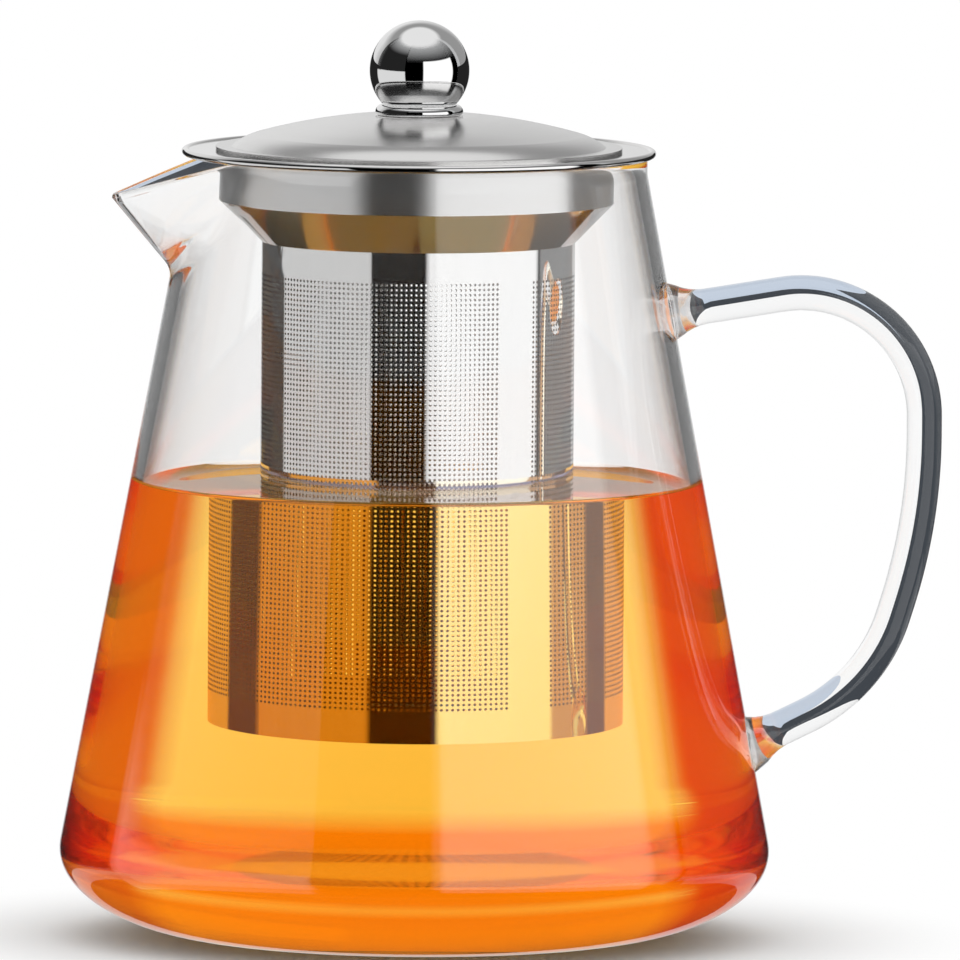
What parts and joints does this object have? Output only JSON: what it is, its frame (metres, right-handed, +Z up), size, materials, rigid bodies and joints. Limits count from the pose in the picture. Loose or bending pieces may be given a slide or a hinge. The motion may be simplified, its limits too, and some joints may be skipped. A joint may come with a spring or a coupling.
{
  "type": "glass teapot",
  "caption": "Clear glass teapot, cone-shaped with a pulled lip and loop handle, holding tea and a perforated steel infuser under a domed steel lid with a ball knob.",
  "frame": {"origin": "centre of the ring that the pot stands on, on the pot's axis", "axes": "+Z up along the pot's axis, +X towards the handle, -X towards the pouring lip, -Y towards the viewer"},
  "size_m": [0.1251, 0.101, 0.1307],
  "materials": {
    "clear_glass": "polished",
    "tea": "polished",
    "brushed_steel": "satin",
    "polished_steel": "polished"
  },
  "bodies": {
    "pot": {"glass_body": "clear_glass", "glass_handle": "clear_glass", "tea": "tea"},
    "infuser": {"infuser_collar": "brushed_steel", "infuser_sleeve": "polished_steel", "infuser_bottom": "polished_steel"},
    "lid": {"lid_dome": "polished_steel", "lid_skirt": "brushed_steel", "knob_base": "polished_steel", "knob_ball": "polished_steel", "knob_screw": "brushed_steel", "knob_washer": "brushed_steel"}
  },
  "joints": [
    {"name": "infuser_lift", "type": "slide", "parent": "pot", "child": "infuser", "axis": [0, 0, 1], "range_m": [0, 0.1], "deforming": ["tea"]},
    {"name": "lid_lift", "type": "slide", "parent": "infuser", "child": "lid", "axis": [0, 0, 1], "range_m": [0, 0.05]}
  ]
}
